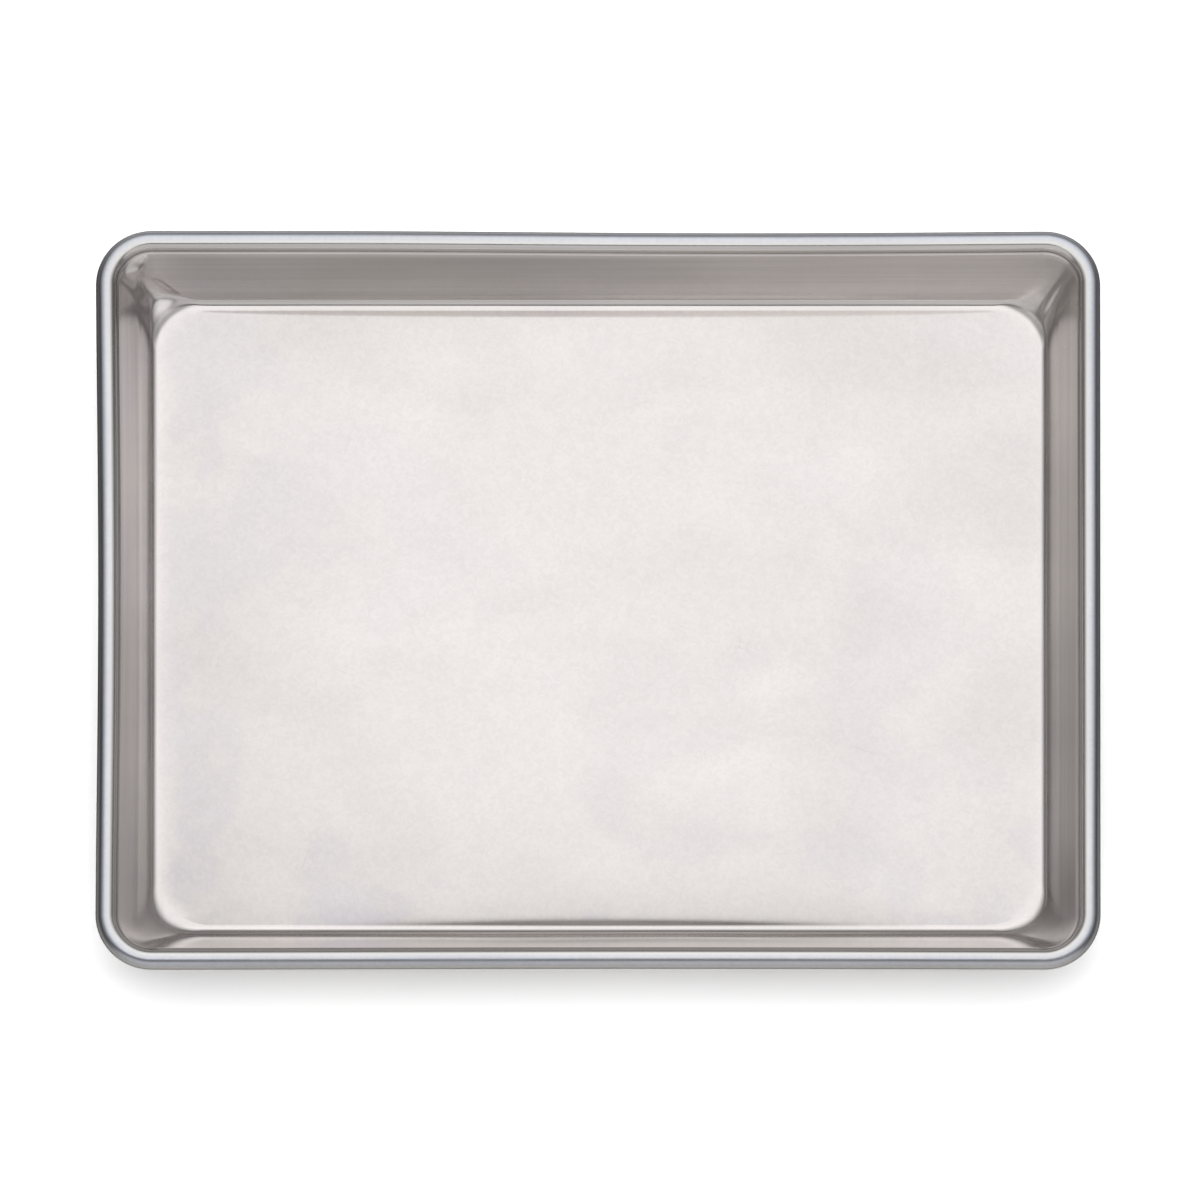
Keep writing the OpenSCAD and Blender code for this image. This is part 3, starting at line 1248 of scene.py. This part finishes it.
@dataclass(frozen=True)
class Softbox:
    """A level panel of soft light that hangs over the pan."""

    name: str
    side: float  # how far its middle lies to the right of the pan's middle
    back: float  # how far its middle lies behind the pan's middle
    level: float  # height over the floor
    width: float
    depth: float  # from front to back
    radiance: float

    def build(self) -> bpy.types.Object:
        """Make the light.

        Returns:
            The light object.
        """
        light = bpy.data.lights.new(self.name, "AREA")
        light.shape = "RECTANGLE"
        light.size = self.width
        light.size_y = self.depth
        light.energy = self.radiance * math.pi * self.width * self.depth
        lamp = bpy.data.objects.new(self.name, light)
        lamp.location = (self.side, self.back, self.level)
        lamp.visible_camera = False
        bpy.context.collection.objects.link(lamp)
        return lamp


@dataclass
class Studio:
    """The pale floor, the soft light and the camera."""

    rim_level: float  # height of the middle of the rim, which the camera is set on
    tilt: float = math.radians(14.5)  # of the view from straight down
    frame_span: float = 393.5 * MM  # width of the picture at the pan
    lens: float = 1500.0  # focal length, long enough that the sides run nearly parallel
    aim: Place = (0.66 * MM, -0.13 * MM)  # where the middle of the picture falls beside the middle of the rim
    room: float = 0.2  # brightness of the dim room around
    front_glow: float = 0.66  # brightness that the low light in front adds
    front_side: Place = (-0.44, -0.6)  # directions towards the front between which that light sets in
    front_top: Place = (0.78, 0.67)  # its upper edge, from none to whole
    back_glow: float = 0.12  # brightness that the low light behind adds
    back_side: Place = (0.3, 0.8)  # directions towards the back between which that light sets in
    floor_colour: float = 0.9
    floor_seen: float = 2.25  # colour of the floor as the camera shows it
    floor_mirrored: float = 1.0  # colour of the floor as metal shows it
    floor_span: float = 24.0
    floor_gap: float = 0.02 * MM  # gap that keeps the floor's face off the pan's underside
    panels: tuple[Softbox, ...] = (
        Softbox("overhead", 0.0, 0.17, 0.62, 0.66, 0.90, 0.33),
        Softbox("overhead_wide", 0.03, 0.34, 0.63, 1.12, 1.25, 0.32),
        Softbox("overhead_broad", 0.08, 0.535, 0.64, 2.16, 1.65, 0.39),
    )

    def floor(self) -> bpy.types.Object:
        """Make the pale floor.

        Returns:
            The floor.
        """
        mesh = bmesh.new()
        bmesh.ops.create_grid(mesh, x_segments=4, y_segments=4, size=self.floor_span / 2)
        piece = new_object("pale_floor", mesh)
        piece.location.z = -self.floor_gap
        material, wires = new_material("pale_floor")
        path = wires.add("ShaderNodeLightPath").outputs
        mirrored = wires.math("MAXIMUM", path["Is Glossy Ray"], path["Is Transmission Ray"])
        shade = wires.blend(mirrored, self.floor_colour, self.floor_mirrored)
        shade = wires.blend(path["Is Camera Ray"], shade, self.floor_seen)
        wires.show(wires.add("ShaderNodeBsdfDiffuse", {"Color": shade}))
        piece.data.materials.append(material)
        return piece

    def light(self) -> None:
        """Make the world's dim light and the panels."""
        world = bpy.data.worlds.new("studio")
        bpy.context.scene.world = world
        world.use_nodes = True
        world.node_tree.nodes.clear()
        wires = Wiring(world.node_tree)
        direction = wires.add("ShaderNodeTexCoord").outputs["Generated"]
        deep, high = wires.add("ShaderNodeSeparateXYZ", {0: direction}).outputs[1:]
        ahead = wires.product(
            wires.ramp(deep, *self.front_side), wires.ramp(high, *self.front_top), self.front_glow
        )
        behind = wires.product(wires.ramp(deep, *self.back_side), self.back_glow)
        total = wires.math("ADD", wires.math("ADD", ahead, behind), self.room)
        wires.show(wires.add("ShaderNodeBackground", {"Strength": total}), "ShaderNodeOutputWorld")
        for panel in self.panels:
            panel.build()

    def camera(self) -> bpy.types.Object:
        """Make the camera at the photograph's angle.

        Returns:
            The camera.
        """
        data = bpy.data.cameras.new("camera")
        data.lens = self.lens
        camera = bpy.data.objects.new("camera", data)
        bpy.context.collection.objects.link(camera)
        back = Vector((0, -math.sin(self.tilt), math.cos(self.tilt)))
        right = Vector((1, 0, 0))
        up = back.cross(right)
        distance = self.lens * self.frame_span / data.sensor_width
        centre = Vector((0, 0, self.rim_level)) + right * self.aim[0] + up * self.aim[1]
        camera.location = centre + back * distance
        camera.rotation_mode = "QUATERNION"
        camera.rotation_quaternion = back.to_track_quat("Z", "Y")
        data.clip_start = 0.1
        data.clip_end = distance * 4
        bpy.context.scene.camera = camera
        return camera


def main() -> None:
    """Build the pan around the frame and set the studio."""
    logging.basicConfig(level=logging.INFO, format="%(name)s: %(message)s")
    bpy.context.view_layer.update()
    bpy.context.scene.view_settings.view_transform = "Standard"

    shell_low, shell_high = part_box(SHELL_NODE)
    wire_low, wire_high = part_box(WIRE_NODE)
    size = Vector(shell_high) - Vector(shell_low)
    section = TraySection(height=size.z, wire_d=wire_high[2] - wire_low[2])
    plan = Plan(
        length=size.x, width=size.y, height=size.z, floor_half_width=size.y / 2 - section.floor_inset
    )
    effects = Effects()

    for assembly in (TraySheet(plan, section), RimWire(plan, section)):
        piece = assembly.build()
        assembly.dress(piece, effects)
        log.info("%s: %d faces", piece.name, len(piece.data.polygons))

    studio = Studio(rim_level=section.curl_centre[1])
    studio.floor()
    studio.light()
    studio.camera()
    log.info("studio set")


if __name__ == "__main__":
    main()
